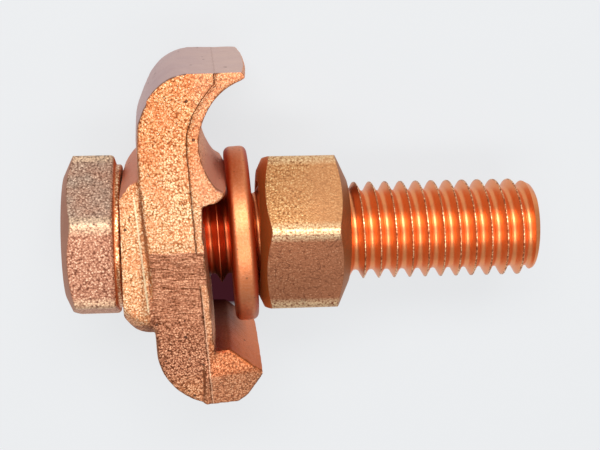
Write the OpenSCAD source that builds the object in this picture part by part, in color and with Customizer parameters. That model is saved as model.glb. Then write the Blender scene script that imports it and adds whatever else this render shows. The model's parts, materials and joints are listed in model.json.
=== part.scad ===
// Bolted hook clamp for joining a grounding cable to flat bar.
// It lies on its side: X runs along the bolt, Y from heel to hook, Z up.

/* [Bolt] */
// Diameter over the thread crests
thread_d = 12.4; // [8:0.1:15.5]
// Bolt length under the head
bolt_len = 52.3; // [42:0.1:80]
// Width across the flats of head and nut
hex_af = 18.8; // [15:0.1:24]
// Head thickness
head_t = 6.8; // [4:0.1:12]
// Turn of the head's upper corner from Z
head_turn = 23.3; // [0:0.5:59]
// Gap between head and pad, as the bolt sits loose
head_gap = 0.4; // [0.1:0.1:2]
// Length of the chamfer at the thread's end
end_chamfer = 1.6; // [0.5:0.1:3]
// Depth of that chamfer
end_drop = 0.8; // [0.2:0.1:1.5]
// Angle of the chamfer round the hexagons
hex_chamfer_a = 25; // [15:1:40]
// Face circle of a chamfered hexagon, as a share of its flats
face_share = 0.83; // [0.75:0.01:0.98]

/* [Nut] */
// Nut thickness
nut_t = 11.2; // [6:0.1:16]
// Turn of the nut's upper corner from Z
nut_turn = 16; // [0:0.5:59]
// Radial clearance of the nut on the thread
nut_clear = 0.05; // [0.01:0.01:0.1]
// Countersink depth of the nut's hole
nut_sink = 0.6; // [0.2:0.1:1.5]

/* [Spring washer] */
// Outer diameter
washer_d = 22.1; // [18:0.1:30]
// Thickness
washer_t = 2.9; // [1.5:0.1:5]
// Radial clearance on the thread
washer_clear = 0.35; // [0.25:0.05:1]
// Lean of the loose washer about Z
washer_lean = 3.3; // [0:0.1:4]
// Width of the split
split_w = 0.9; // [0.3:0.1:3]
// Turn of the split from straight down, towards the heel
split_turn = 40; // [0:1:90]
// Slant of the split
split_slant = 25; // [0:1:45]
// Corner chamfer of the section
washer_edge = 0.35; // [0.1:0.05:0.8]
// Gap between the washer's low edge and the nut
washer_gap = 0.06; // [0.02:0.01:0.5]
// Gap between the washer and the ridge's tip
ridge_gap = 0.35; // [0.1:0.05:2]

/* [Clamp body] */
// Width of the casting
body_w = 22.1; // [20:0.1:36]
// Hook top above the bolt axis
hook_top = 22.2; // [20:0.1:34]
// Heel bottom below the bolt axis
tail_drop = 19.7; // [16:0.1:30]
// Radius of the cable groove
groove_r = 8.1; // [6.6:0.1:9.6]
// Height of the groove's centre above the bolt axis
groove_y = 13.8; // [12.4:0.1:16]
// Metal between the hook's back and the groove
neck_t = 7.2; // [4:0.1:12]
// Setback of the hook from the pad
back_x = 2.3; // [1:0.1:4]
// Lean of the back at the hook's outer corner
back_lean = 0.9; // [0.3:0.1:2]
// Lean of the back at the fettled face
back_taper = 1.2; // [0.3:0.1:2]
// Radius of the hook's outer corner
crown_r = 4.3; // [2:0.1:6]
// Thickness of the hook at its tip
tip_t = 0.7; // [0.5:0.1:3]
// Drop of the ridge below the groove's centre
ridge_drop = 5.8; // [5:0.1:8]
// Reach of the ridge past the groove's curve
ridge_reach = 0.4; // [0.2:0.1:2]
// Thickness of the ridge
ridge_t = 1.6; // [1.2:0.1:3]
// Step of the inner face from the groove's deepest line
inner_step = 0.2; // [0:0.1:1]
// Lean of the inner face down to the heel
inner_lean = 1.2; // [0:0.1:3]
// Reach of the heel past the inner face
heel_reach = 5.9; // [3:0.1:8]
// Height of the heel
heel_h = 7.1; // [4:0.1:10]
// Drop of the heel's tip below its upper side
heel_drop = 3; // [1:0.1:4.5]
// Flat on the heel's upper side
heel_flat = 2.1; // [1:0.1:4]
// Least gap between the heel and the washer's edge
heel_clear = 1.2; // [0.4:0.1:3]
// Slope of the heel's lower facet
facet_a = 24; // [0:1:35]
// Depth of the facet at the heel's tip
facet_t = 2.6; // [1:0.1:5]
// Radius of the tail's lower corner
tail_r = 7.7; // [4:0.1:9]
// Set-in of the tail from the back
tail_in = 1.4; // [0.5:0.1:3]
// Half height of the bolt pad
pad_h = 8.2; // [8:0.1:10]
// Radius that rounds the pad's corners
pad_r = 11.6; // [9:0.1:14]
// Half height of the boss where it meets the body
boss_h = 11.7; // [10:0.1:14]
// Radius that rounds the boss's corners there
boss_r = 13; // [11:0.1:16]
// Length of the boss's flare from the pad
flare_x = 3; // [1.5:0.1:5]
// Inset of the boss from each side of the body
boss_inset = 0.65; // [0.2:0.05:2]
// Radial clearance of the bolt in the body
hole_clear = 0.4; // [0.1:0.05:0.8]
// Slope of the fettled face down to the tail
fettle_a = 7; // [0:0.5:12]
// Height of the fettled face's upper edge above the bolt axis
fettle_top = 0.8; // [-4:0.1:4]

/* [Hidden] */
$fn = 64;
eps = 0.01;
big = 60;
function arc(cx, cy, r, a0, a1, n) =
    [for (i = [0:n]) let (a = a0 + (a1 - a0) * i / n) [cx + r * cos(a), cy + r * sin(a)]];

// Half the groove's width at a height from its centre, 0 past its edge
function half_chord(y) = sqrt(max(0, groove_r ^ 2 - y ^ 2));

// Height of a turned hexagon's lowest corner below the bolt axis
function hex_low(turn) = hex_af / 2 / cos(30) * cos(min(turn % 60, 60 - turn % 60));

// Bolt axis and the middle of the overall box
axis_z = max(body_w / 2, washer_d / 2, hex_low(head_turn), hex_low(nut_turn));
mid_x = (bolt_len - 2 * head_gap - head_t) / 2;
mid_y = (hook_top - tail_drop) / 2;

// Body outline, measured from the pad's face and the bolt axis
groove_x = back_x + neck_t + groove_r;
hook_tip_x = groove_x - half_chord(hook_top - tip_t - groove_y);
hook_tip = [min(hook_tip_x, groove_x - 3), hook_top - tip_t];
ridge_y = groove_y - ridge_drop;
ridge_x = groove_x - half_chord(ridge_drop) + ridge_reach;
under_ridge = ridge_y - ridge_t;
inner_x = back_x + neck_t + inner_step;
heel_top = min(heel_h - tail_drop, -washer_d / 2 - heel_clear);
heel_x = inner_x + inner_lean;
heel_tip = [heel_x + heel_reach, heel_top - heel_drop];
tail_x = back_x + tail_in;
boss_w = body_w - 2 * boss_inset;
bore_r = thread_d / 2 + hole_clear;

// Washer and nut follow the ridge's tip
lean_x = washer_d / 2 * sin(washer_lean);
half_t = washer_t / 2 * cos(washer_lean);
washer_x = ridge_x + ridge_gap + half_t + ridge_y * sin(washer_lean);
nut_x = washer_x + half_t + lean_x + washer_gap;

module on_axis() translate([-mid_x, -mid_y, axis_z]) children();
module along_x() rotate([0, 90, 0]) children();

module hexagon_prism(t, turn, both_ends) {
    // Hexagon along X from 0 to t, chamfered at 0 and, if asked, at t too
    face_r = hex_af / 2 * face_share;
    corner_r = hex_af / 2 / cos(30);
    drop = (corner_r - face_r) * tan(hex_chamfer_a);
    far = both_ends ? [[face_r, t], [corner_r + eps, t - drop]] : [[corner_r + eps, t]];
    intersection() {
        rotate([-turn, 0, 0]) along_x() linear_extrude(t) circle(r = corner_r, $fn = 6);
        along_x() rotate_extrude()
            polygon(concat([[0, 0], [face_r, 0], [corner_r + eps, drop]],
                           both_ends ? [far[1], far[0]] : far, [[0, t]]));
    }
}

module body_outline() {
    tail = arc(tail_x + tail_r, tail_r - tail_drop, tail_r, 180, 270, 12);
    crown_x = back_x + back_lean + crown_r;
    crown = arc(crown_x, hook_top - crown_r, crown_r, 90, 160, 10);
    back = [[back_x + back_lean / 6, groove_y + 2.4], [back_x, groove_y - 0.6],
            [back_x + back_taper / 12, groove_y - 4.6], [back_x + back_taper, -3.6]];
    heel = [[heel_tip.x - 3.7, -tail_drop], [heel_tip.x - 2.2, 1.3 - tail_drop],
            [heel_tip.x - 0.2, heel_tip.y - 0.6], heel_tip, [heel_x + heel_flat, heel_top], [heel_x, heel_top]];
    ridge = [[inner_x, under_ridge - 3], [inner_x, under_ridge], [ridge_x - 0.8, ridge_y - 1.2],
             [ridge_x - 0.1, ridge_y - 0.5], [ridge_x, ridge_y], [ridge_x - 0.4, ridge_y + 0.3]];
    difference() {
        polygon(concat([[hook_tip.x - 0.5, hook_top], [crown_x, hook_top]], crown, back, tail, heel, ridge,
                       [[ridge_x, groove_y], hook_tip]));
        translate([groove_x, groove_y]) circle(r = groove_r, $fn = 96);
    }
}

module boss() {
    // Block whose pad faces the bolt head, flared along Y to the body and rounded at its corners
    function flare(low, high) = [for (i = [0:8]) [flare_x * i / 8, high - (high - low) * (1 - i / 8) ^ 2.2]];
    end_x = inner_x - 1;
    side = concat(flare(pad_h, boss_h), [[end_x, boss_h]]);
    other_side = [for (i = [len(side) - 1:-1:0]) [side[i].x, -side[i].y]];
    corners = [for (p = flare(pad_r, boss_r)) [p.y, p.x]];
    intersection() {
        translate([0, 0, -boss_w / 2]) linear_extrude(boss_w) polygon(concat(side, other_side));
        along_x() rotate_extrude() polygon(concat([[0, 0]], corners, [[boss_r, end_x], [0, end_x]]));
    }
}

module clamp_body() {
    color([0.80, 0.50, 0.33]) on_axis() difference() {
        union() {
            translate([0, 0, -body_w / 2]) linear_extrude(body_w) body_outline();
            boss();
        }
        along_x() translate([0, 0, -eps]) cylinder(h = big, r = bore_r);
        // Fettled face, sloping back towards the tail
        translate([-eps, fettle_top, body_w / 2]) rotate([fettle_a, 0, 0])
            translate([0, -big, 0]) cube([big, big, big / 2]);
        // Lower facet on the heel's upper side
        translate([heel_x - 0.4, heel_tip.y, body_w / 2 - facet_t]) rotate([facet_a, 0, 0])
            translate([0, -big, 0]) cube([big, big, big / 2]);
    }
}

module hex_bolt() {
    color([0.78, 0.45, 0.28]) on_axis() translate([-head_gap, 0, 0]) {
        translate([-head_t, 0, 0]) hexagon_prism(head_t, head_turn, false);
        along_x() translate([0, 0, -eps]) cylinder(h = bolt_len - end_chamfer + eps, r = thread_d / 2);
        along_x() translate([0, 0, bolt_len - end_chamfer])
            cylinder(h = end_chamfer, r1 = thread_d / 2, r2 = thread_d / 2 - end_drop);
    }
}

module spring_washer() {
    // Split ring, cut right through on its lower side
    ring_in = thread_d / 2 + washer_clear;
    ring_out = washer_d / 2;
    e = washer_edge;
    color([0.82, 0.47, 0.25]) on_axis() translate([washer_x, 0, 0]) rotate([0, 0, washer_lean])
        difference() {
            along_x() rotate_extrude($fn = 96) polygon([
                [ring_in, -washer_t / 2], [ring_out - e, -washer_t / 2], [ring_out, -washer_t / 2 + e],
                [ring_out, washer_t / 2 - e], [ring_out - e, washer_t / 2], [ring_in, washer_t / 2]]);
            rotate([-split_turn, 0, 0]) rotate([0, 0, split_slant])
                translate([-washer_t * 2, -split_w / 2, -ring_out - 1])
                cube([washer_t * 4, split_w, ring_out]);
        }
}

module hex_nut() {
    hole_r = thread_d / 2 + nut_clear;
    color([0.80, 0.52, 0.33]) on_axis() translate([nut_x, 0, 0]) difference() {
        hexagon_prism(nut_t, nut_turn, true);
        along_x() translate([0, 0, -eps]) cylinder(h = nut_t + 2 * eps, r = hole_r);
        for (side = [0, 1]) translate([side * nut_t, 0, 0]) mirror([side, 0, 0]) along_x()
            translate([0, 0, -eps]) cylinder(h = nut_sink + eps, r1 = hole_r + nut_sink + eps, r2 = hole_r);
    }
}

clamp_body();
hex_bolt();
spring_washer();
hex_nut();
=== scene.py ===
import json
import math

import bmesh
import bpy
from mathutils import Matrix, Vector


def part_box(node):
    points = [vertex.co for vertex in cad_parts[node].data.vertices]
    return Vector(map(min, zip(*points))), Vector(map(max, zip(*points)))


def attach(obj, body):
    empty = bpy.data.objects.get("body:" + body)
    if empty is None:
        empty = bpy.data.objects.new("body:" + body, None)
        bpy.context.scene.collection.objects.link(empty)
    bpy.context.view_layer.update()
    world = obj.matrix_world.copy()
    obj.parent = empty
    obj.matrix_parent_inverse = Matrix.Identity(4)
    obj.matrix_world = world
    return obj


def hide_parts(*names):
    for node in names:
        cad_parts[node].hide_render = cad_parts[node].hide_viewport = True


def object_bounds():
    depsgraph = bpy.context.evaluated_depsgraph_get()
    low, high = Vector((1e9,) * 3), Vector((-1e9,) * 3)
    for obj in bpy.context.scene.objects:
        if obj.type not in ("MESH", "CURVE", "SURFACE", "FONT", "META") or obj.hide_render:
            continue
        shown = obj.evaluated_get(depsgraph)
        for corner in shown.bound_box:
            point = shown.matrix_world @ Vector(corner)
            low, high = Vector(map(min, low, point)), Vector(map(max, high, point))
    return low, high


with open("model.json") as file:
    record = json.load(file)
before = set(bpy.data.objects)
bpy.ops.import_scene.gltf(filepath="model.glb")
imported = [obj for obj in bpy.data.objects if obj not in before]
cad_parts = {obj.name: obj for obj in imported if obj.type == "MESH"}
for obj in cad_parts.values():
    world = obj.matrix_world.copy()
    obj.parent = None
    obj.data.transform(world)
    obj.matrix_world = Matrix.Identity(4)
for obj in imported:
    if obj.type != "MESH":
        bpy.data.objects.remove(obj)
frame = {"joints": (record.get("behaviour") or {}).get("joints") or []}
cadBox = [list(corner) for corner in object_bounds()]
mm = 0.001
spin = next(j for j in frame["joints"] if j["name"] == "bolt_spin")
axisY, axisZ = spin["pos_m"][1], spin["pos_m"][2]  # the bolt's axis
bodyLow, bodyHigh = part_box("clamp_body")
boltLow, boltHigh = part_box("hex_bolt")
nutLow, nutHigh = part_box("hex_nut")
washerLow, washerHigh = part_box("spring_washer")
padX = bodyLow.x  # every place on the casting is counted from its pad
weld, fineWeld = 1e-6, 1e-7  # vertices nearer than this become one
print("frame loaded")


def startPiece():
    if bpy.context.object and bpy.context.object.mode != "OBJECT":
        bpy.ops.object.mode_set(mode="OBJECT")
    bpy.ops.object.select_all(action="DESELECT")


def focus(piece):
    startPiece()
    piece.select_set(True)
    bpy.context.view_layer.objects.active = piece


def editMesh(piece):
    focus(piece)
    bpy.ops.object.mode_set(mode="EDIT")
    bpy.ops.mesh.select_mode(type="VERT")
    bpy.ops.mesh.select_all(action="DESELECT")
    return bmesh.from_edit_mesh(piece.data)


def leaveEdit():
    bpy.ops.object.mode_set(mode="OBJECT")


def pushUp(height):
    bpy.ops.mesh.extrude_region_move(TRANSFORM_OT_translate={"value": (0, 0, height)})


def fixPlace(piece):
    focus(piece)
    bpy.ops.object.transform_apply(location=True, rotation=True, scale=True)


def finishWith(piece, kind, **settings):
    focus(piece)
    modifier = piece.modifiers.new(kind.lower(), kind)
    for name, value in settings.items():
        setattr(modifier, name, value)
    bpy.ops.object.modifier_apply(modifier=modifier.name)


def cutWith(piece, tool, operation="DIFFERENCE"):
    finishWith(piece, "BOOLEAN", operation=operation, object=tool, solver="EXACT")
    bpy.data.objects.remove(tool)


def joinAll(name, pieces):
    focus(pieces[0])
    for piece in pieces:
        piece.select_set(True)
    bpy.ops.object.join()
    pieces[0].name = name
    return pieces[0]


def faceOutwards(piece, near=weld):
    mesh = editMesh(piece)
    bpy.ops.mesh.select_all(action="SELECT")
    bpy.ops.mesh.remove_doubles(threshold=near)
    bpy.ops.mesh.normals_make_consistent(inside=False)
    if mesh.calc_volume(signed=True) < 0:
        bpy.ops.mesh.flip_normals()
    leaveEdit()


def smoothFaces(piece, degrees=40):
    focus(piece)
    bpy.ops.object.shade_smooth_by_angle(angle=math.radians(degrees))
    print(piece.name + ":", len(piece.data.polygons), "faces")


def layAlongBolt(piece, x):
    # a piece made upright on the origin is laid along the bolt
    piece.matrix_world = (Matrix.Translation((x, axisY, axisZ))
                          @ Matrix.Rotation(math.radians(90), 4, "Y"))
    fixPlace(piece)


def traceLine(name, points):
    # one vertex, pulled from point to point
    startPiece()
    bpy.ops.mesh.primitive_plane_add(size=mm, location=points[0])
    line = bpy.context.object
    line.name = name
    fixPlace(line)
    editMesh(line)
    bpy.ops.mesh.select_all(action="SELECT")
    bpy.ops.mesh.merge(type="CENTER")
    for here, there in zip(points, points[1:]):
        step = Vector(there) - Vector(here)
        bpy.ops.mesh.extrude_vertices_move(TRANSFORM_OT_translate={"value": step})
    leaveEdit()
    return line


def closeLine(line):
    # joins the two loose ends and stays in edit mode
    mesh = editMesh(line)
    for vert in mesh.verts:
        vert.select_set(len(vert.link_edges) == 1)
    bpy.ops.mesh.edge_face_add()


def traceSlab(name, points, low, high):
    # the outline is closed, filled and pulled up
    slab = traceLine(name, [(x, y, low) for x, y in points])
    closeLine(slab)
    bpy.ops.mesh.select_all(action="SELECT")
    bpy.ops.mesh.edge_face_add()
    pushUp(high - low)
    leaveEdit()
    faceOutwards(slab)
    return slab


def shave(piece, point, normal):
    # cuts away what stands in front of a plane
    editMesh(piece)
    bpy.ops.mesh.select_all(action="SELECT")
    bpy.ops.mesh.bisect(plane_co=point, plane_no=normal, use_fill=True, clear_outer=True,
                        threshold=fineWeld)
    leaveEdit()


def arc(cx, cy, radius, start, end, steps):
    turns = [math.radians(start + (end - start) * i / steps) for i in range(steps + 1)]
    return [(cx + radius * math.cos(a), cy + radius * math.sin(a)) for a in turns]


def rise(value, start, length):
    # 0 up to the start, 1 past the length
    return min(max((value - start) / length, 0), 1)


def upright(levels, sides=96):
    # a round bar built up from its first face: (height, radius) for each level
    startPiece()
    bottom, bottomR = levels[0]
    bpy.ops.mesh.primitive_circle_add(vertices=sides, radius=bottomR * mm, fill_type="NGON",
                                      location=(0, 0, bottom * mm))
    bar = bpy.context.object
    fixPlace(bar)
    editMesh(bar)
    bpy.ops.mesh.select_all(action="SELECT")
    for (low, lowR), (high, highR) in zip(levels, levels[1:]):
        pushUp((high - low) * mm)
        bpy.ops.transform.resize(value=(highR / lowR, highR / lowR, 1),
                                 center_override=(0, 0, high * mm))
    leaveEdit()
    faceOutwards(bar)
    return bar


class Value:
    # one output of a shader node, with sums written as sums
    def __init__(self, tree, socket):
        self.tree, self.socket = tree, socket

    def maths(self, operation, *others, clamp=False):
        return self.tree.add("ShaderNodeMath", {"operation": operation, "use_clamp": clamp},
                             [self, *others])

    def __add__(self, other):
        return self.maths("ADD", other)

    def __sub__(self, other):
        return self.maths("SUBTRACT", other)

    def __rsub__(self, other):
        return self.tree.add("ShaderNodeMath", {"operation": "SUBTRACT"}, [other, self])

    def __mul__(self, other):
        return self.maths("MULTIPLY", other)

    def __truediv__(self, other):
        return self.maths("DIVIDE", other)

    def __abs__(self):
        return self.maths("ABSOLUTE")

    __radd__ = __add__
    __rmul__ = __mul__

    def above(self, edge, blur):
        # 0 below the edge, 1 above it, with a soft step
        return ((self - edge) / blur).maths("ADD", 0.5, clamp=True)

    def below(self, edge, blur):
        return 1 - self.above(edge, blur)

    def most(self, other):
        return self.maths("MAXIMUM", other)


def length(a, b):
    return (a * a + b * b).maths("SQRT")


class Finish:
    # a material, painted by place (x, y, z in millimetres) and by the way it faces
    def __init__(self, name):
        self.material = bpy.data.materials.new(name)
        self.material.use_nodes = True
        self.nodes, self.links = self.material.node_tree.nodes, self.material.node_tree.links
        self.shader = self.nodes["Principled BSDF"]
        spot = self.add("ShaderNodeTexCoord", {}, {}, out="Object")
        self.place = self.add("ShaderNodeVectorMath", {"operation": "SCALE"},
                              {"Vector": spot, "Scale": 1 / mm}, out="Vector")
        self.x, self.y, self.z = self.split(self.place)
        facing = self.add("ShaderNodeTexCoord", {}, {}, out="Normal")
        self.nx, self.ny, self.nz = self.split(facing)

    def split(self, vector):
        node = self.add("ShaderNodeSeparateXYZ", {}, {"Vector": vector}).socket.node
        return [Value(self, node.outputs[axis]) for axis in "XYZ"]

    def add(self, kind, settings, inputs, out=0):
        node = self.nodes.new(kind)
        for name, value in settings.items():
            if name == "stops":
                ramp = node.color_ramp
                while len(ramp.elements) < len(value):
                    ramp.elements.new(0.5)
                for stop, (spot, colour) in zip(ramp.elements, value):
                    stop.position, stop.color = spot, (*colour, 1.0)
            else:
                setattr(node, name, value)
        for name, value in (inputs.items() if isinstance(inputs, dict) else enumerate(inputs)):
            self.feed(node.inputs[name], value)
        return Value(self, node.outputs[out])

    def feed(self, socket, value):
        if isinstance(value, Value):
            self.links.new(value.socket, socket)
        elif isinstance(value, tuple) and socket.type == "RGBA":
            socket.default_value = (*value, 1.0)
        else:
            socket.default_value = value

    def stretch(self, x, y, z):
        return self.add("ShaderNodeMapping", {}, {"Vector": self.place, "Scale": Vector((x, y, z))})

    def noise(self, scale, detail=4.0, rough=0.6, place=None):
        return self.add("ShaderNodeTexNoise", {}, {"Vector": place or self.place, "Scale": scale,
                                                   "Detail": detail, "Roughness": rough}, out="Fac")

    def grains(self, scale):
        return self.add("ShaderNodeTexVoronoi", {"feature": "F1"},
                        {"Vector": self.place, "Scale": scale}, out="Distance")

    def speckle(self, scale):
        # soft noise with rounder grains in it, about 0.5 on the whole
        soft, beads = self.noise(scale, 3.0, 0.8), 0.55 - self.grains(scale * 0.85)
        return soft * 0.62 + beads * 0.3 + 0.17

    def fromAxis(self):
        return length(self.y - axisY / mm, self.z - axisZ / mm)

    def mix(self, mask, first, second, blend="MIX"):
        node = self.nodes.new("ShaderNodeMix")
        node.data_type, node.blend_type = "RGBA", blend
        factor, low, high = node.inputs[0], node.inputs[6], node.inputs[7]
        for socket, value in zip((factor, low, high), (mask, first, second)):
            self.feed(socket, value)
        return Value(self, node.outputs[2])

    def ramp(self, value, stops):
        return self.add("ShaderNodeValToRGB", {"stops": stops}, [value], out="Color")

    def finish(self, colour, rough, height, depth):
        normal = self.add("ShaderNodeBump", {}, {"Height": height, "Distance": depth * mm,
                                                 "Strength": 1.0}, out="Normal")
        for name, value in (("Base Color", colour), ("Roughness", rough), ("Normal", normal),
                            ("Metallic", 1.0)):
            self.feed(self.shader.inputs[name], value)
        return self.material


def wear(piece, material):
    piece.data.materials.clear()
    piece.data.materials.append(material)


# x is counted from the pad, y from the bolt's axis; "...Slant" is the way a cut faces
casting = {
    "hookTop": 22.2, "tailDrop": 19.7, "inset": 0.03, "crownR": 6.0, "crownIn": 0.6,
    "backX": 2.3, "back": [(0.15, 16.2), (0.0, 13.2), (0.1, 9.2), (1.2, -3.6)],
    "tailR": 7.7, "tailIn": 1.65,
    "grooveX": 17.6, "grooveY": 13.8, "grooveR": 8.1, "grooveLead": 5,
    "tipCurve": 21.0, "tip": [(14.55, 21.28), (14.9, 21.5), (14.85, 21.85), (14.5, 22.2)],
    "tipCut": (14.3, 21.6, 10.9), "tipSlant": (0.55, 0.83),
    "ridgeDrop": 5.8, "ridgeOut": 0.4, "ridge": [(-0.8, -1.2), (-0.1, -0.5), (0.0, 0.0), (-0.4, 0.25)],
    "innerX": 9.7, "innerLean": 1.2, "wallHigh": 1.6, "wallLow": 4.6,
    "heelReach": 5.9, "heelHigh": 7.1, "heelDrop": 3.0, "heelRoot": 1.2, "heelFlat": 1.9,
    "heelTip": [(-0.5, 0.3), (0.0, 0.0), (-0.4, -0.8)], "heelFoot": [(-1.9, 1.1), (-3.2, 0.0)],
    "heelSink": 1.5, "facetSink": 1.6, "facets": [(12, 6), (-15, 10)],
    "padHigh": 7.2, "padR": 12.4, "bossHigh": 9.8, "bossR": 13.6, "bossHalf": 10.35,
    "bossDeep": 8.5, "bossUp": 0.9, "flare": 3.0, "flareBend": 2.2, "flareSteps": 8,
    "bossEdge": 2.1, "bossSlant": (0.42, 0.91), "lobeEnd": 8.4, "lobeSlant": (0.6, 0.8),
    "holeR": 6.6, "drill": (-5.0, 30.0),
    "fettleTop": 0.8, "fettleSlope": 7.0, "fettleDeep": 0.22,
    "seamX": 8.1, "seamLean": 0.072, "leanTop": 12.6, "seamStep": 0.16, "seamLap": 0.8,
    "bendStart": 14.0, "bendLong": 6.9, "seamBend": 0.07, "seamSteps": 30,
    "draft": 2.2, "draftX": (8.6, 8.0), "edge": 0.28, "edgeAngle": 1.2, "edgeX": 3.9,
    "edgeY": (-16, 18.5), "voxel": 0.22, "rounding": 3, "skinScale": 1.6, "skinDeep": 0.09,
    "bulge": 0.42, "bulgeLeast": 0.25, "bulgeGroove": 0.9,
    "blowholes": [(8.8, 15.5, 0.16), (12.8, 17.5, 0.2), (10.2, 9.0, 0.1)],
}
c = casting


def seamX(y):
    # the parting line's way down the front
    bend = min(max(y - c["bendStart"], 0), c["bendLong"])
    return c["seamX"] + c["seamLean"] * max(c["leanTop"] - y, 0) + c["seamBend"] * bend ** 2


def seamLine(start, end):
    steps = c["seamSteps"]
    heights = [start + (end - start) * i / steps for i in range(steps + 1)]
    return [(seamX(y), y) for y in heights]


def onCasting(points):
    return [(padX + x * mm, axisY + y * mm) for x, y in points]


def around(x, y, points):
    return [(x + across, y + up) for across, up in points]


ridgeY = c["grooveY"] - c["ridgeDrop"]
ridgeX = c["grooveX"] - math.sqrt(c["grooveR"] ** 2 - c["ridgeDrop"] ** 2) + c["ridgeOut"]
footY = -c["tailDrop"]
heelX, heelTop = c["innerX"] + c["innerLean"], footY + c["heelHigh"]
heelTipX, heelTipY = heelX + c["heelReach"], heelTop - c["heelDrop"]
tipTurn = math.degrees(math.asin((c["tipCurve"] - c["grooveY"]) / c["grooveR"]))
grooveEnd = math.degrees(math.asin(c["ridgeDrop"] / c["grooveR"])) - c["grooveLead"]
tailX = c["backX"] + c["tailIn"] + c["tailR"]
crownX = c["backX"] + c["crownIn"] + c["crownR"]
front, back = 2 * axisZ - c["inset"] * mm, c["inset"] * mm

backOutline = (
    arc(crownX, c["hookTop"] - c["crownR"], c["crownR"], 90, 160, 10)
    + around(c["backX"], 0, c["back"])
    + arc(tailX, footY + c["tailR"], c["tailR"], 180, 262, 12))
innerOutline = (
    [(heelX, heelTop - 2), (c["innerX"], ridgeY - c["wallLow"]), (c["innerX"], ridgeY - c["wallHigh"])]
    + around(ridgeX, ridgeY, c["ridge"])
    + arc(c["grooveX"], c["grooveY"], c["grooveR"], 180 + grooveEnd, 180 - tipTurn, 24)
    + c["tip"])

# the two halves of the mould meet at the parting line, and each leans back from it
slope = math.radians(c["draft"])
leftX, rightX = c["draftX"]
leftHalf = traceSlab("leftHalf", onCasting(backOutline + seamLine(footY, c["hookTop"])), back, front)
shave(leftHalf, (padX + leftX * mm, 0, front), (-math.sin(slope), 0, math.cos(slope)))
mesh = editMesh(leftHalf)
bpy.ops.mesh.select_mode(type="EDGE")
lowest, highest = c["edgeY"]
for edge in mesh.edges:
    spot = (edge.verts[0].co + edge.verts[1].co) / 2
    sharp = len(edge.link_faces) == 2 and edge.calc_face_angle() > c["edgeAngle"]
    edge.select_set(sharp and (spot.x - padX) / mm < c["edgeX"]
                    and lowest < (spot.y - axisY) / mm < highest)
bpy.ops.mesh.bevel(offset=c["edge"] * mm, segments=3)
leaveEdit()

step = front - c["seamStep"] * mm
lapped = [(x - c["seamLap"], y) for x, y in seamLine(c["hookTop"] - 0.05, footY)]
rightHalf = traceSlab("rightHalf", onCasting(innerOutline + lapped + [(heelX - 0.3, footY)]),
                      back, step)
shave(rightHalf, (padX + rightX * mm, 0, step), (math.sin(slope), 0, math.cos(slope)))
cutX, cutY, cutZ = [place * mm for place in c["tipCut"]]
for side in (-1, 1):
    shave(rightHalf, (padX + cutX, axisY + cutY, axisZ + side * cutZ),
          (c["tipSlant"][0], 0, side * c["tipSlant"][1]))
fettle = math.radians(c["fettleSlope"])
for half in (leftHalf, rightHalf):
    shave(half, (0, axisY + c["fettleTop"] * mm, front - c["fettleDeep"] * mm),
          (0, -math.sin(fettle), math.cos(fettle)))

heelRoot = heelX - c["heelRoot"]
heel = traceSlab("heel", onCasting(
    [(heelRoot, heelTop - c["heelRoot"] / 2), (heelX, heelTop), (heelX + c["heelFlat"], heelTop)]
    + around(heelTipX, heelTipY, c["heelTip"]) + around(heelTipX, footY, c["heelFoot"])
    + [(heelRoot, footY)]), back, front - c["heelSink"] * mm)
for lean, toTip in c["facets"]:
    up, side = math.radians(lean), math.radians(toTip)
    shave(heel, (padX + heelX * mm, axisY + heelTipY * mm, front - c["facetSink"] * mm),
          (math.sin(side), math.sin(up), math.cos(up)))


def flared(narrow, wide):
    # from the pad inwards: (depth, half width)
    shares = [i / c["flareSteps"] for i in range(c["flareSteps"] + 1)]
    curve = [(c["flare"] * share, wide - (wide - narrow) * (1 - share) ** c["flareBend"])
             for share in shares]
    return curve + [(c["bossDeep"], wide)]


# the boss is a flared block whose corners are turned round
flank = flared(c["padHigh"], c["bossHigh"])
boss = traceSlab("boss", onCasting(flank + [(x, -y) for x, y in reversed(flank)]),
                 axisZ - c["bossHalf"] * mm, axisZ + c["bossHalf"] * mm)
corners = upright(flared(c["padR"], c["bossR"]))
layAlongBolt(corners, padX)
corners.location.y = c["bossUp"] * mm
fixPlace(corners)
cutWith(boss, corners, "INTERSECT")
for side in (-1, 1):
    faceZ = axisZ + side * c["bossHalf"] * mm
    shave(boss, (padX + c["bossEdge"] * mm, 0, faceZ), (c["bossSlant"][0], 0, side * c["bossSlant"][1]))
    shave(boss, (padX, axisY - c["lobeEnd"] * mm, faceZ),
          (0, -c["lobeSlant"][0], side * c["lobeSlant"][1]))

drill = upright([(height, c["holeR"]) for height in c["drill"]], 128)
layAlongBolt(drill, padX)

clampBody = joinAll("clampBody", [leftHalf, rightHalf, heel, boss])
finishWith(clampBody, "REMESH", mode="VOXEL", voxel_size=c["voxel"] * mm, use_smooth_shade=True)
finishWith(clampBody, "SMOOTH", factor=0.5, iterations=c["rounding"])


def swellAt(y, faces):
    # least beside the washer, most in the cable's groove
    if faces < 0.1 or y < 3:
        return c["bulge"]
    inGroove = 1 - c["bulgeLeast"] + c["bulgeGroove"] * (1 - rise(y, 10.0, 3.5))
    return c["bulge"] * (c["bulgeLeast"] + rise(y, 5.5, 3) * inGroove)


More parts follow.
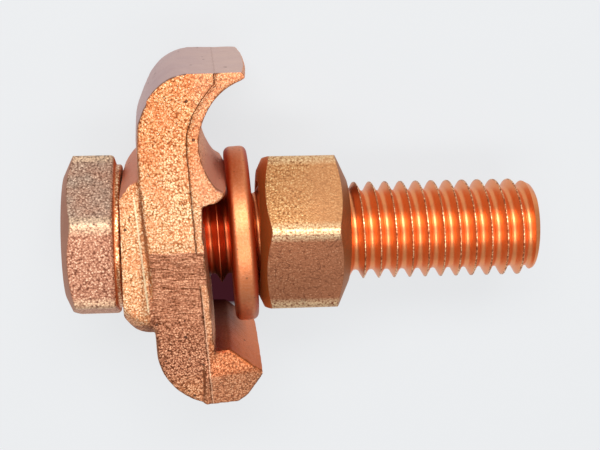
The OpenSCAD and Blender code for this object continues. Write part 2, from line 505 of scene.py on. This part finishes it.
# the sides swell a little towards the mould's parting plane
mesh = editMesh(clampBody)
mesh.normal_update()
lowest = Vector((padX, axisY + footY * mm, back))
highest = Vector((bodyHigh.x, axisY + c["hookTop"] * mm, front))
moves = []
for vert in mesh.verts:
    across = (vert.co.z - axisZ) / (front - axisZ)
    swell = swellAt((vert.co.y - axisY) / mm, vert.normal.x) * max(0.0, 1 - across * across)
    spot = vert.co + Vector((vert.normal.x, vert.normal.y, 0)) * swell * mm
    moves.append(Vector([min(max(spot[i], lowest[i]), highest[i]) for i in range(3)]))
for vert, spot in zip(mesh.verts, moves):
    vert.co = spot
bmesh.update_edit_mesh(clampBody.data)
leaveEdit()
skin = bpy.data.textures.new("castSkin", "CLOUDS")
skin.noise_scale = c["skinScale"] * mm
finishWith(clampBody, "DISPLACE", texture=skin, strength=c["skinDeep"] * mm, mid_level=0.9,
           texture_coords="LOCAL")
cutWith(clampBody, drill)
smoothFaces(clampBody)


thread = {"crestR": 6.18, "rootR": 5.05, "pitch": 2.0, "crestFlat": 0.05, "rootArc": 0.52,
          "flank": 60.0, "steps": 72, "phase": 0.09}
t = thread


def threadRod(name, long, startX, extra=0.0):
    # an upright threaded rod from z = 0; its helix is counted from the bolt's head
    root = arc(t["pitch"] / 2, t["rootR"] + t["rootArc"], t["rootArc"],
               270 - t["flank"], 270 + t["flank"], 8)
    section = ([(0.0, t["crestR"]), (t["crestFlat"], t["crestR"])] + root
               + [(t["pitch"] - t["crestFlat"], t["crestR"]), (t["pitch"], t["crestR"])])
    phase = ((startX - boltLow.x) / mm + t["phase"]) % t["pitch"]
    start = -phase - 2 * t["pitch"]
    turns = int(long / t["pitch"]) + 5
    rod = traceLine(name, [((radius + extra) * mm, 0, (height + start) * mm)
                           for height, radius in section])
    finishWith(rod, "SCREW", axis="Z", screw_offset=t["pitch"] * mm, iterations=turns,
               steps=t["steps"], render_steps=t["steps"], use_normal_calculate=True)
    faceOutwards(rod)
    for height, way in ((0.0, -1), (long * mm, 1)):
        shave(rod, (0, 0, height), (0, 0, way))
    faceOutwards(rod)
    return rod


hexagon = {"flats": 18.8, "chamfer": 25.0, "edge": 0.48, "slack": 0.1, "past": 0.001,
           "cornerFrom": 10.35, "lineHalf": 0.09}
cornerR = hexagon["flats"] / 2 / math.cos(math.radians(30))
chamferRise = math.tan(math.radians(hexagon["chamfer"]))


def hexagonBar(name, long, turn, lowShare, highShare):
    # each end is chamfered down to its share of the flats; an end without one is only rounded
    startPiece()
    bpy.ops.mesh.primitive_cylinder_add(vertices=6, radius=cornerR * mm, depth=long * mm,
                                        location=(0, 0, long / 2 * mm))
    bar = bpy.context.object
    bar.name = name
    fixPlace(bar)
    mesh = editMesh(bar)
    bpy.ops.mesh.select_mode(type="EDGE")
    for edge in mesh.edges:
        middle = (edge.verts[0].co.z + edge.verts[1].co.z) / 2
        edge.select_set(mm < middle < (long - 1) * mm or (highShare is None and middle > mm))
    bpy.ops.mesh.bevel(offset=hexagon["edge"] * mm, segments=4)
    leaveEdit()
    wide, past = cornerR + hexagon["slack"], hexagon["past"]
    lowR = hexagon["flats"] / 2 * lowShare
    levels = [(-past, lowR), ((wide - lowR) * chamferRise, wide)]
    if highShare is None:
        levels += [(long + past, wide)]
    else:
        highR = hexagon["flats"] / 2 * highShare
        levels += [(long - (wide - highR) * chamferRise, wide), (long + past, highR)]
    cutWith(bar, upright(levels), "INTERSECT")
    bar.matrix_world = Matrix.Rotation(math.radians(30 - turn), 4, "Z")
    fixPlace(bar)
    return bar


bolt = {"headTurn": 23.3, "headHigh": 6.4, "faceShare": 0.83, "rootIn": 1.0, "collarR": 9.0,
        "collarEnd": 7.05, "collarEdge": 0.15, "short": 0.01, "endLong": 2.2, "endDrop": 0.75,
        "endSlack": 0.3}
boltLength = (boltHigh.x - boltLow.x) / mm - bolt["short"]
head = hexagonBar("head", bolt["headHigh"], bolt["headTurn"], bolt["faceShare"], None)
hexBolt = threadRod("hexBolt", boltLength, boltLow.x)
endWide = t["crestR"] + bolt["endSlack"]
endCut = upright([(-1.0, endWide), (boltLength - bolt["endLong"], endWide),
                  (boltLength + hexagon["past"], t["crestR"] - bolt["endDrop"])])
cutWith(hexBolt, endCut, "INTERSECT")
rootX = bolt["headHigh"] - bolt["rootIn"]
shave(hexBolt, (0, 0, rootX * mm), (0, 0, -1))
faceOutwards(hexBolt, fineWeld)
collar = upright([(rootX, bolt["collarR"]), (bolt["collarEnd"] - bolt["collarEdge"], bolt["collarR"]),
                  (bolt["collarEnd"], bolt["collarR"] - bolt["collarEdge"])])
joinAll("hexBolt", [hexBolt, head, collar])
layAlongBolt(hexBolt, boltLow.x)
smoothFaces(hexBolt)


nut = {"turn": 16.0, "lowShare": 0.85, "highShare": 0.72, "sink": 0.5, "sinkDeep": 1.5,
       "sinkPast": 0.1, "tapPast": 0.2, "threadGap": 0.05}
nutLength = (nutHigh.x - nutLow.x) / mm
hexNut = hexagonBar("hexNut", nutLength, nut["turn"], nut["lowShare"], nut["highShare"])
tap = threadRod("tap", nutLength + 2 * nut["tapPast"], nutLow.x - nut["tapPast"] * mm,
                nut["threadGap"])
tap.location.z = -nut["tapPast"] * mm
fixPlace(tap)
mouthR, past, deep = t["crestR"] + nut["sink"], nut["sinkPast"], nut["sinkDeep"]
sinks = [upright([(-past, mouthR + past), (deep, mouthR - deep)]),
         upright([(nutLength - deep, mouthR - deep), (nutLength + past, mouthR + past)])]
for tool in [tap] + sinks:
    cutWith(hexNut, tool)
faceOutwards(hexNut, fineWeld)
layAlongBolt(hexNut, nutLow.x)
smoothFaces(hexNut)


washer = {"outR": 11.04, "inR": 6.55, "thick": 2.9, "edge": 0.85, "innerEdge": 0.3, "lean": 3.3,
          "sides": 160, "split": 0.9, "splitTurn": 40, "splitSlant": 25, "splitOut": 2}
w = washer
half, outer, inner = w["thick"] / 2, w["edge"], w["innerEdge"]
section = (arc(w["outR"] - outer, half - outer, outer, 90, 0, 6)
           + arc(w["outR"] - outer, outer - half, outer, 0, -90, 6)
           + arc(w["inR"] + inner, inner - half, inner, -90, -180, 3)
           + arc(w["inR"] + inner, half - inner, inner, 180, 90, 3))
springWasher = traceLine("springWasher", [(x * mm, 0, z * mm) for x, z in section])
closeLine(springWasher)
bpy.ops.mesh.select_all(action="SELECT")
bpy.ops.mesh.spin(steps=w["sides"], angle=math.tau, center=(0, 0, 0), axis=(0, 0, 1),
                  use_auto_merge=True)
leaveEdit()
faceOutwards(springWasher)
startPiece()
bpy.ops.mesh.primitive_cube_add(size=1)
blade = bpy.context.object
blade.scale = (w["outR"] * mm, w["split"] * mm, w["thick"] * 4 * mm)
blade.location = ((w["outR"] / 2 + w["splitOut"]) * mm, 0, 0)
fixPlace(blade)
blade.rotation_euler = (math.radians(w["splitSlant"]), 0, 0)
fixPlace(blade)
cutWith(springWasher, blade)
faceOutwards(springWasher, fineWeld)
springWasher.matrix_world = (Matrix.Translation(((washerLow.x + washerHigh.x) / 2, axisY, axisZ))
                             @ Matrix.Rotation(math.radians(w["lean"]), 4, "Z")
                             @ Matrix.Rotation(-math.radians(w["splitTurn"]), 4, "X")
                             @ Matrix.Rotation(math.radians(90), 4, "Y"))
fixPlace(springWasher)
smoothFaces(springWasher)


# a list is a ramp over the speckle, a single colour is mixed in
castTone = {
    # grain: the casting's own speckle, whose brightest stop is painted glints
    "grain": [(0.37, (0.28, 0.09, 0.03)), (0.45, (0.60, 0.26, 0.105)), (0.505, (0.78, 0.40, 0.185)),
              (0.56, (0.98, 0.64, 0.36)), (0.63, (1.0, 0.94, 0.68))],
    "duller": [(0.38, (0.15, 0.04, 0.015)), (0.5, (0.56, 0.165, 0.07)), (0.62, (0.96, 0.45, 0.22))],
    "lobe": [(0.40, (0.14, 0.04, 0.018)), (0.48, (0.42, 0.15, 0.07)), (0.54, (0.58, 0.23, 0.11)),
             (0.64, (0.95, 0.55, 0.3))],
    "ground": [(0.40, (0.12, 0.035, 0.015)), (0.47, (0.40, 0.145, 0.075)),
               (0.53, (0.62, 0.25, 0.135)), (0.61, (0.98, 0.54, 0.32))],
    "patch": (0.86, 0.30, 0.13), "hook": (0.92, 0.70, 0.57), "paintedGlint": (1.0, 0.92, 0.60),
    "speck": (0.30, 0.09, 0.035), "yellowBand": (1.0, 0.86, 0.52), "right": (0.86, 0.40, 0.24),
    "heelFront": (0.82, 0.62, 0.50), "heelShade": (0.34, 0.03, 0.008), "heelTop": (0.86, 0.24, 0.07),
    "cavityShadow": (0.07, 0.008, 0.008), "bossTop": (0.90, 0.26, 0.09), "lobeHighlight": (1.0, 0.86, 0.56),
    "lobeShadeLine": (0.40, 0.13, 0.05), "crown": (0.54, 0.375, 0.365), "crownTip": (0.72, 0.51, 0.43),
    "ridge": (0.62, 0.25, 0.16), "seam": (0.20, 0.06, 0.02), "seamHighlight": (1.0, 0.62, 0.40),
    "pit": (0.09, 0.04, 0.03), "rim": (0.22, 0.075, 0.03),
}


def castBronze():
    f, tone = Finish("castBronze"), castTone
    x, y = f.x - padX / mm, f.y - axisY / mm
    faceUp = f.nz.above(0.6, 0.2)
    speck = f.speckle(4.6)
    dust = f.noise(9.0, 2.0, 0.7)
    patch = f.noise(0.33, 2.0, 0.5)
    colour = f.mix(patch.above(0.52, 0.3) * 0.4, f.ramp(speck, tone["grain"]), tone["patch"])
    colour = f.mix(y.above(9.0, 10.0), colour, tone["hook"], "MULTIPLY")
    # painted highlights: scattered grains lit up as glints
    paintedGlint = f.grains(3.3).below(0.24, 0.16) * f.noise(1.3, 2.0, 0.5).above(0.45, 0.2)
    colour = f.mix(paintedGlint * 0.6, colour, tone["paintedGlint"])
    colour = f.mix(f.grains(2.3).below(0.13, 0.08) * 0.6, colour, tone["speck"])
    bend = (y - c["bendStart"]).most(0.0).maths("MINIMUM", c["bendLong"])
    path = (c["seamX"] + (c["leanTop"] - y).most(0.0) * c["seamLean"]
            + bend * bend * c["seamBend"])
    # a band of bright yellow grains to the left of the parting line
    yellowBand = abs(x - path + 1.7).below(0.9, 1.2) * y.above(-1.0, 3.0) * y.below(15.0, 5.0)
    colour = f.mix(yellowBand * speck.above(0.53, 0.1) * 0.6, colour, tone["yellowBand"])
    colour = f.mix(x.above(9.0, 1.5) * 0.25, colour, tone["right"])

    # lower down the casting is duller and redder
    low = y.below(-8.0, 8.0)
    colour = f.mix(low * 0.6, colour, f.ramp(speck, tone["duller"]))
    onHeel = x.above(10.2, 0.4) * y.below(-11.0, 1.0) * f.nz.above(0.6, 0.3)
    colour = f.mix(onHeel * y.above(heelTipY, 0.4) * 0.8, colour, tone["heelFront"], "MULTIPLY")
    # painted shade: the heel's inner top darkens to deep red towards the tail's wall, and to a
    # near-black painted shadow towards the back by that wall
    inHeel = x.above(10.6, 0.5) * y.below(-8.0, 2.0) * f.ny.above(0.4, 0.3)
    heelShading = f.mix(x.above(13.0, 3.0), tone["heelShade"], tone["heelTop"])
    heelShading = f.mix(f.z.below(11.0, 7.0) * x.below(14.5, 2.0) * 0.85, heelShading, tone["cavityShadow"])
    colour = f.mix(inHeel * 0.85, colour, heelShading)

    # the boss is redder on top, and dull past the round lobe at its lower end
    onBoss = x.below(3.4, 0.6) * y.below(12.0, 1.0)
    colour = f.mix(onBoss * f.ny.above(0.45, 0.4) * 0.85, colour, tone["bossTop"])
    pastLobe = length(x - 1.9, y + 6.9).above(1.75, 0.2) * y.below(-6.9, 0.3) * x.below(4.0, 1.0)
    colour = f.mix(pastLobe * 0.9, colour, f.ramp(speck, tone["lobe"]))
    # a painted highlight runs along the lobe's edge, with a thin painted shade line beside it
    bodyEdge = (9.2 - y) * 0.086 + 2.4
    onLobe = faceUp * y.above(-6.8, 0.8) * y.below(7.4, 0.8)
    colour = f.mix(abs(x - bodyEdge + 0.75).below(0.10, 0.1) * onLobe * 0.7, colour, tone["lobeHighlight"])
    colour = f.mix(abs(x - bodyEdge + 0.32).below(0.05, 0.1) * onLobe * 0.5, colour, tone["lobeShadeLine"])

    # the ground area has a ragged top edge and scratches along x
    scratch = f.noise(1.0, 5.0, 0.7, f.stretch(0.7, 6.0, 1.0))
    ragged = (f.noise(0.8, 3.0, 0.6) - 0.5) * 0.9
    inside = (x + y * 0.09).below(9.0, 0.5).most(y.above(-3.4, 0.4))
    ground = ((y + ragged).below(c["fettleTop"] + 0.1, 0.25) * y.above(-16.5, 3.0)
              * f.nz.above(0.9, 0.08) * x.above(3.1, 0.25) * inside)
    grit = speck + (scratch - speck) * y.above(-9.0, 6.0) * 0.55
    colour = f.mix(ground * 0.9, colour, f.ramp(grit, tone["ground"]))

    # the faces cut across the mould are smooth and greyer
    onCrown = (f.ny * 0.8 - f.nx * 0.6).above(0.5, 0.4) * f.nz.below(0.55, 0.4) * y.above(11.0, 6.0)
    lighter = x.above(8.5, 9.0) * 0.6 + patch.above(0.5, 0.4) * 0.2 + dust.above(0.6, 0.2) * 0.15
    colour = f.mix(onCrown, colour, f.mix(lighter, tone["crown"], tone["crownTip"]))
    ridgeTop = f.ny.above(0.3, 0.3) * y.above(6.5, 1.0) * y.below(12.5, 3.0)
    colour = f.mix(ridgeTop * 0.9, colour, tone["ridge"])

    # the parting line is dark and ground away below the bolt; on the tail a painted highlight lines its
    # lit edge
    offSeam = x - path + (f.noise(0.9, 2.0, 0.5) - 0.5) * 0.3
    gone = y.above(-3.6, 0.6) * y.below(0.6, 0.6)
    seam = abs(offSeam).below(0.07, 0.11) * (1 - gone) * (0.8 - onCrown * 0.6 - low * 0.3)
    colour = f.mix(seam, colour, tone["seam"])
    seamHighlight = abs(offSeam - 0.15).below(0.07, 0.08) * y.below(-4.5, 2.0) * faceUp
    colour = f.mix(seamHighlight * 0.55, colour, tone["seamHighlight"])

    pits = f.grains(0.42).below(0.07, 0.03).most(f.grains(1.15).below(0.05, 0.03) * 0.7)
    for holeX, holeZ, holeR in c["blowholes"]:
        pits = pits.most(length(x - holeX, f.z - holeZ).below(holeR, 0.12) * onCrown)
    colour = f.mix(pits * 0.85, colour, tone["pit"])
    rim = f.nz.above(0.32, 0.2) * f.nz.below(0.8, 0.2) * x.above(2.4, 0.5)
    colour = f.mix(rim * 0.6, colour, tone["rim"])
    smooth = onCrown.most(ridgeTop)
    rough = 0.42 + speck * 0.2 + smooth * 0.1
    height = (speck * (1 - smooth * 0.9) + dust * 0.3 + scratch * ground * 0.8
              - seam * 1.2 - pits - pastLobe * 0.8)
    return f.finish(colour, rough, height, 0.10)


def chamferLine(depth, radius, share):
    # the edge between a chamfer and the flats of a hexagon
    drop = (radius - hexagon["flats"] / 2 * share) * chamferRise
    return abs(depth - drop).below(hexagon["lineHalf"], 0.08)


def brightCorner(radius, speck):
    # grains worn bright along the six corners
    return radius.above(hexagon["cornerFrom"], 0.3) * speck.above(0.45, 0.2) * 0.6


boltTone = {
    "warm": [(0.37, (0.22, 0.08, 0.045)), (0.46, (0.52, 0.23, 0.14)), (0.54, (0.70, 0.34, 0.21)),
             (0.63, (1.0, 0.74, 0.52))],
    "grey": [(0.36, (0.20, 0.12, 0.08)), (0.46, (0.43, 0.29, 0.21)), (0.56, (0.58, 0.41, 0.31)),
             (0.66, (0.96, 0.76, 0.58))],
    "crest": [(0.40, (0.30, 0.09, 0.035)), (0.52, (0.80, 0.34, 0.15)), (0.60, (1.0, 0.80, 0.5))],
    "end": (0.74, 0.37, 0.25), "endPatch": (0.56, 0.26, 0.17), "corner": (1.0, 0.76, 0.5),
    "line": (0.22, 0.08, 0.04), "under": (0.72, 0.21, 0.06), "thread": (0.84, 0.29, 0.105),
    "threadLight": (0.92, 0.38, 0.155), "gap": (0.56, 0.085, 0.03), "gapLow": (0.09, 0.01, 0.01),
}


def boltBronze():
    f, tone = Finish("boltBronze"), boltTone
    along, radius = f.x - boltLow.x / mm, f.fromAxis()
    speck = f.speckle(4.4)
    patch = f.noise(0.3, 3.0, 0.5)
    grain = f.noise(1.0, 4.0, 0.6, f.stretch(0.8, 2.6, 2.6))
    onHead = along.below(bolt["headHigh"] + 0.1, 0.2)
    greyed = f.ny.above(0.45, 0.5) * (0.45 + patch.above(0.45, 0.3) * 0.55)
    headTone = f.mix(greyed, f.ramp(speck, tone["warm"]), f.ramp(speck, tone["grey"]))
    chamfer = f.nx.below(-0.3, 0.2)
    endTone = f.mix(patch.above(0.5, 0.3) * 0.6, tone["end"], tone["endPatch"])
    headTone = f.mix(chamfer, headTone, endTone)
    headTone = f.mix(brightCorner(radius, speck), headTone, tone["corner"])
    headTone = f.mix(chamferLine(along, radius, bolt["faceShare"]) * 0.55, headTone, tone["line"])
    under = along.above(bolt["headHigh"] - 0.1, 0.1) * radius.above(7.0, 0.5)
    headTone = f.mix(under * 0.85, headTone, tone["under"])

    # painted shade: the thread is darker and redder between the casting and the washer, and near black
    # below the axis
    threadTone = f.mix(grain.above(0.5, 0.4) * 0.5, tone["thread"], tone["threadLight"])
    inGap = (f.x - padX / mm).above(10.0, 1.0) * (f.x - washerLow.x / mm).below(3.0, 1.0)
    gapTone = f.mix((f.y - axisY / mm).below(-3.0, 3.0) * 0.9, tone["gap"], tone["gapLow"])
    threadTone = f.mix(inGap * 0.8, threadTone, gapTone)
    crest = radius.above(t["crestR"] - 0.12, 0.06) * (1 - inGap)
    threadTone = f.mix(crest, threadTone, f.ramp(speck, tone["crest"]))
    rough = 0.31 + grain * 0.14 + onHead * (0.18 + speck * 0.1)
    turned = (radius * 14.0).maths("SINE") * abs(f.nx).above(0.93, 0.06)
    height = speck * onHead * (1 - chamfer * 0.8) + grain * 0.14 + turned * 0.12
    return f.finish(f.mix(onHead, threadTone, headTone), rough, height, 0.07)


nutTone = {
    "gold": [(0.34, (0.26, 0.10, 0.035)), (0.43, (0.60, 0.26, 0.095)), (0.54, (0.77, 0.37, 0.145)),
             (0.64, (1.0, 0.76, 0.38))],
    "roseShade": [(0.30, (0.20, 0.065, 0.035)), (0.44, (0.38, 0.14, 0.07)), (0.60, (0.42, 0.16, 0.085)),
             (0.76, (0.85, 0.46, 0.27))],
    "smooth": (0.74, 0.34, 0.145), "mark": (0.14, 0.045, 0.025), "nearChamferReflection": (0.98, 0.36, 0.08),
    "farChamferShade": (0.40, 0.15, 0.05), "corner": (1.0, 0.78, 0.46), "line": (0.26, 0.09, 0.04),
}


def nutBronze():
    f, tone = Finish("nutBronze"), nutTone
    along, radius = f.x - nutLow.x / mm, f.fromAxis()
    speck = f.speckle(4.4)
    patch = f.noise(0.25, 3.0, 0.5)
    # the lower flats are pinker, and darker as painted shade
    lower = f.ny.below(0.25, 0.5)
    smooth = (along + patch * 8).above(9.0, 5.0)
    gold = f.mix(smooth * 0.7, f.ramp(speck, tone["gold"]), tone["smooth"])
    colour = f.mix(lower * 0.9, gold, f.ramp(speck, tone["roseShade"]))
    scratch = (abs(f.noise(0.32, 1.5, 0.4) - 0.5).below(0.006, 0.008)
               * f.noise(0.7, 2.0, 0.5).above(0.46, 0.08) * lower)
    pits = f.grains(0.8).below(0.06, 0.03)
    colour = f.mix(scratch.most(pits) * 0.6, colour, tone["mark"])
    # the chamfer towards the washer is a painted orange reflection, the far one dark with painted shade
    chamfer = abs(f.nx).above(0.25, 0.1)
    colour = f.mix(chamfer, colour, f.mix(f.nx.above(0.0, 0.1), tone["nearChamferReflection"], tone["farChamferShade"]))
    colour = f.mix(brightCorner(radius, speck), colour, tone["corner"])
    line = chamferLine(along, radius, nut["lowShare"]).most(
        chamferLine(nutLength - along, radius, nut["highShare"]))
    colour = f.mix(line * 0.2, colour, tone["line"])
    rough = 0.36 + speck * 0.16 + chamfer * 0.12
    return f.finish(colour, rough, speck * (1 - chamfer * 0.8), 0.05)


washerTone = {
    "rim": (0.74, 0.235, 0.09), "rimLight": (0.86, 0.38, 0.20), "face": (0.44, 0.05, 0.01),
    "lowBlotch": (0.34, 0.15, 0.08), "spot": (0.25, 0.09, 0.04),
}


def washerBronze():
    f, tone = Finish("washerBronze"), washerTone
    fine = f.noise(3.4, 3.0, 0.7)
    streak = f.noise(1.0, 3.0, 0.6, f.stretch(2.4, 0.6, 0.6))
    colour = f.mix(fine.above(0.56, 0.3) * 0.5, tone["rim"], tone["rimLight"])
    # painted shade and reflected red: the flat faces are deep red
    colour = f.mix(abs(f.nx).above(0.4, 0.5), colour, tone["face"])
    # darker blotches on the lower half
    lowBlotches = f.noise(0.5, 3.0, 0.6).above(0.45, 0.2) * (f.y - axisY / mm).below(-5.5, 3.0)
    colour = f.mix(lowBlotches * 0.5, colour, tone["lowBlotch"])
    colour = f.mix(f.grains(0.9).below(0.12, 0.06) * 0.6, colour, tone["spot"])
    return f.finish(colour, 0.36 + streak * 0.2, fine + streak * 0.5, 0.035)


for piece, body, node, slotName, material in (
        (clampBody, "clamp", "clamp_body", "cast_bronze", castBronze()),
        (hexBolt, "bolt", "hex_bolt", "bronze_bolt", boltBronze()),
        (springWasher, "washer", "spring_washer", "bronze_washer", washerBronze()),
        (hexNut, "nut", "hex_nut", "bronze_nut", nutBronze())):
    wear(piece, material)
    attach(piece, body)
    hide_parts(node)
print("finishes done")


studio = {
    "tilt": 16.0, "yaw": 5.0, "distance": 160.6, "lens": 75.7, "aimX": -0.20, "aimY": -0.40,
    "floor": 3.0, "paper": (0.80, 0.815, 0.83), "nookShadow": (0.045, 0.009, 0.014), "nookReach": 22,
    "shadow": 0.12, "room": 0.5, "sky": (0.96, 0.97, 1.0), "lampAim": (0, 0, 0.01),
    "keyBox": {"place": (-0.03, 0.29, 0.40), "size": (0.40, 0.14), "power": 2.0},
    "frontBox": {"place": (0.0, -0.09, 0.44), "size": (0.36, 0.10), "power": 0.8},
}
s = studio
startPiece()
bpy.ops.mesh.primitive_plane_add(size=s["floor"], location=(0, 0, 0))
floor = bpy.context.object
floor.name = "floor"
paper = Finish("paper")
paper.feed(paper.shader.inputs["Base Color"], s["paper"])
paper.feed(paper.shader.inputs["Roughness"], 0.9)
rays = paper.add("ShaderNodeLightPath", {}, {}).socket.node.outputs
toEye, toMirror, throughGlass = [Value(paper, rays[name]) for name in (
    "Is Camera Ray", "Is Glossy Ray", "Is Transmission Ray")]
seen = toEye.most(toMirror).most(throughGlass)
nookShadow = paper.add("ShaderNodeAmbientOcclusion", {"samples": 16},
                 {"Distance": s["nookReach"] * mm}, out="AO")
# painted shadow: only the nook between the tail and the washer goes dark, dimmed by ambient occlusion
across, up = paper.x - padX / mm, paper.y - axisY / mm
inNook = (across.above(9.5, 1.5) * across.below(15.0, 1.8)
          * up.below(-7.5, 3.0) * up.above(-14.0, 2.0))
openness = 1 - inNook * nookShadow.below(0.6, 0.3)
glow = paper.add("ShaderNodeEmission", {}, {"Color": paper.mix(openness, s["nookShadow"], s["paper"])})
lit = Value(paper, paper.shader.outputs[0])
plain = paper.add("ShaderNodeMixShader", {}, [openness * s["shadow"], glow, lit])
sheet = paper.add("ShaderNodeMixShader", {}, [seen, lit, plain])
paper.links.new(sheet.socket, paper.nodes["Material Output"].inputs["Surface"])
wear(floor, paper.material)

for name in ("keyBox", "frontBox"):
    box = s[name]
    light = bpy.data.lights.new(name, "AREA")
    light.shape, light.energy = "RECTANGLE", box["power"]
    light.size, light.size_y = box["size"]
    lamp = bpy.data.objects.new(name, light)
    lamp.location = box["place"]
    way = Vector(s["lampAim"]) - Vector(box["place"])
    lamp.rotation_euler = way.to_track_quat("-Z", "Y").to_euler()
    bpy.context.scene.collection.objects.link(lamp)

# the room lights the part with one tone and shows the camera another
world = bpy.data.worlds.new("room")
bpy.context.scene.world = world
world.use_nodes = True
sky, skyLinks = world.node_tree.nodes, world.node_tree.links
sky["Background"].inputs["Color"].default_value = (*s["sky"], 1)
sky["Background"].inputs["Strength"].default_value = s["room"]
pale = sky.new("ShaderNodeBackground")
pale.inputs["Color"].default_value = (*s["paper"], 1)
path, choice = sky.new("ShaderNodeLightPath"), sky.new("ShaderNodeMixShader")
skyLinks.new(path.outputs["Is Camera Ray"], choice.inputs[0])
skyLinks.new(sky["Background"].outputs[0], choice.inputs[1])
skyLinks.new(pale.outputs[0], choice.inputs[2])
skyLinks.new(choice.outputs[0], sky["World Output"].inputs["Surface"])

view = bpy.data.cameras.new("camera")
view.lens, view.sensor_width, view.clip_start = s["lens"], 36.0, 0.005
camera = bpy.data.objects.new("camera", view)
bpy.context.scene.collection.objects.link(camera)
middle = (Vector(cadBox[0]) + Vector(cadBox[1])) / 2
aim = Vector((middle.x + s["aimX"] * mm, middle.y + s["aimY"] * mm, axisZ))
turn = (Matrix.Rotation(-math.radians(s["yaw"]), 4, "Y")
        @ Matrix.Rotation(-math.radians(s["tilt"]), 4, "X"))
camera.matrix_world = Matrix.Translation(aim) @ turn @ Matrix.Translation((0, 0, s["distance"] * mm))
bpy.context.scene.camera = camera
bpy.context.scene.view_settings.view_transform = "Standard"
print("studio done")
